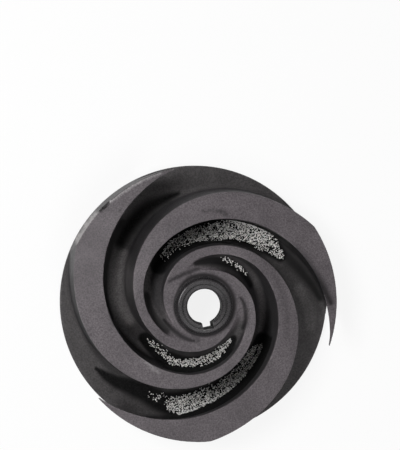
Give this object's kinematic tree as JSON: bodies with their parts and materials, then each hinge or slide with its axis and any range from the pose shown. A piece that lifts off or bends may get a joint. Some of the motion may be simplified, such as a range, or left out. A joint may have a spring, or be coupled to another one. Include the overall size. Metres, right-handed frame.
{
  "type": "pump impeller",
  "caption": "Semi-open pump impeller: spiral vanes on a round back shroud, with a raised hub boss and a keyed bore.",
  "frame": {"origin": "centre of the flat back face, on the shaft axis", "axes": "+Z along the shaft axis, from the back face towards the eye and the vane faces; the keyway lies near -Y"},
  "size_m": [0.203, 0.203, 0.0545],
  "materials": {
    "casting": "as-cast grey iron with turned boss, bore and rim"
  },
  "bodies": {
    "root": {"impeller": "casting"}
  },
  "joints": []
}
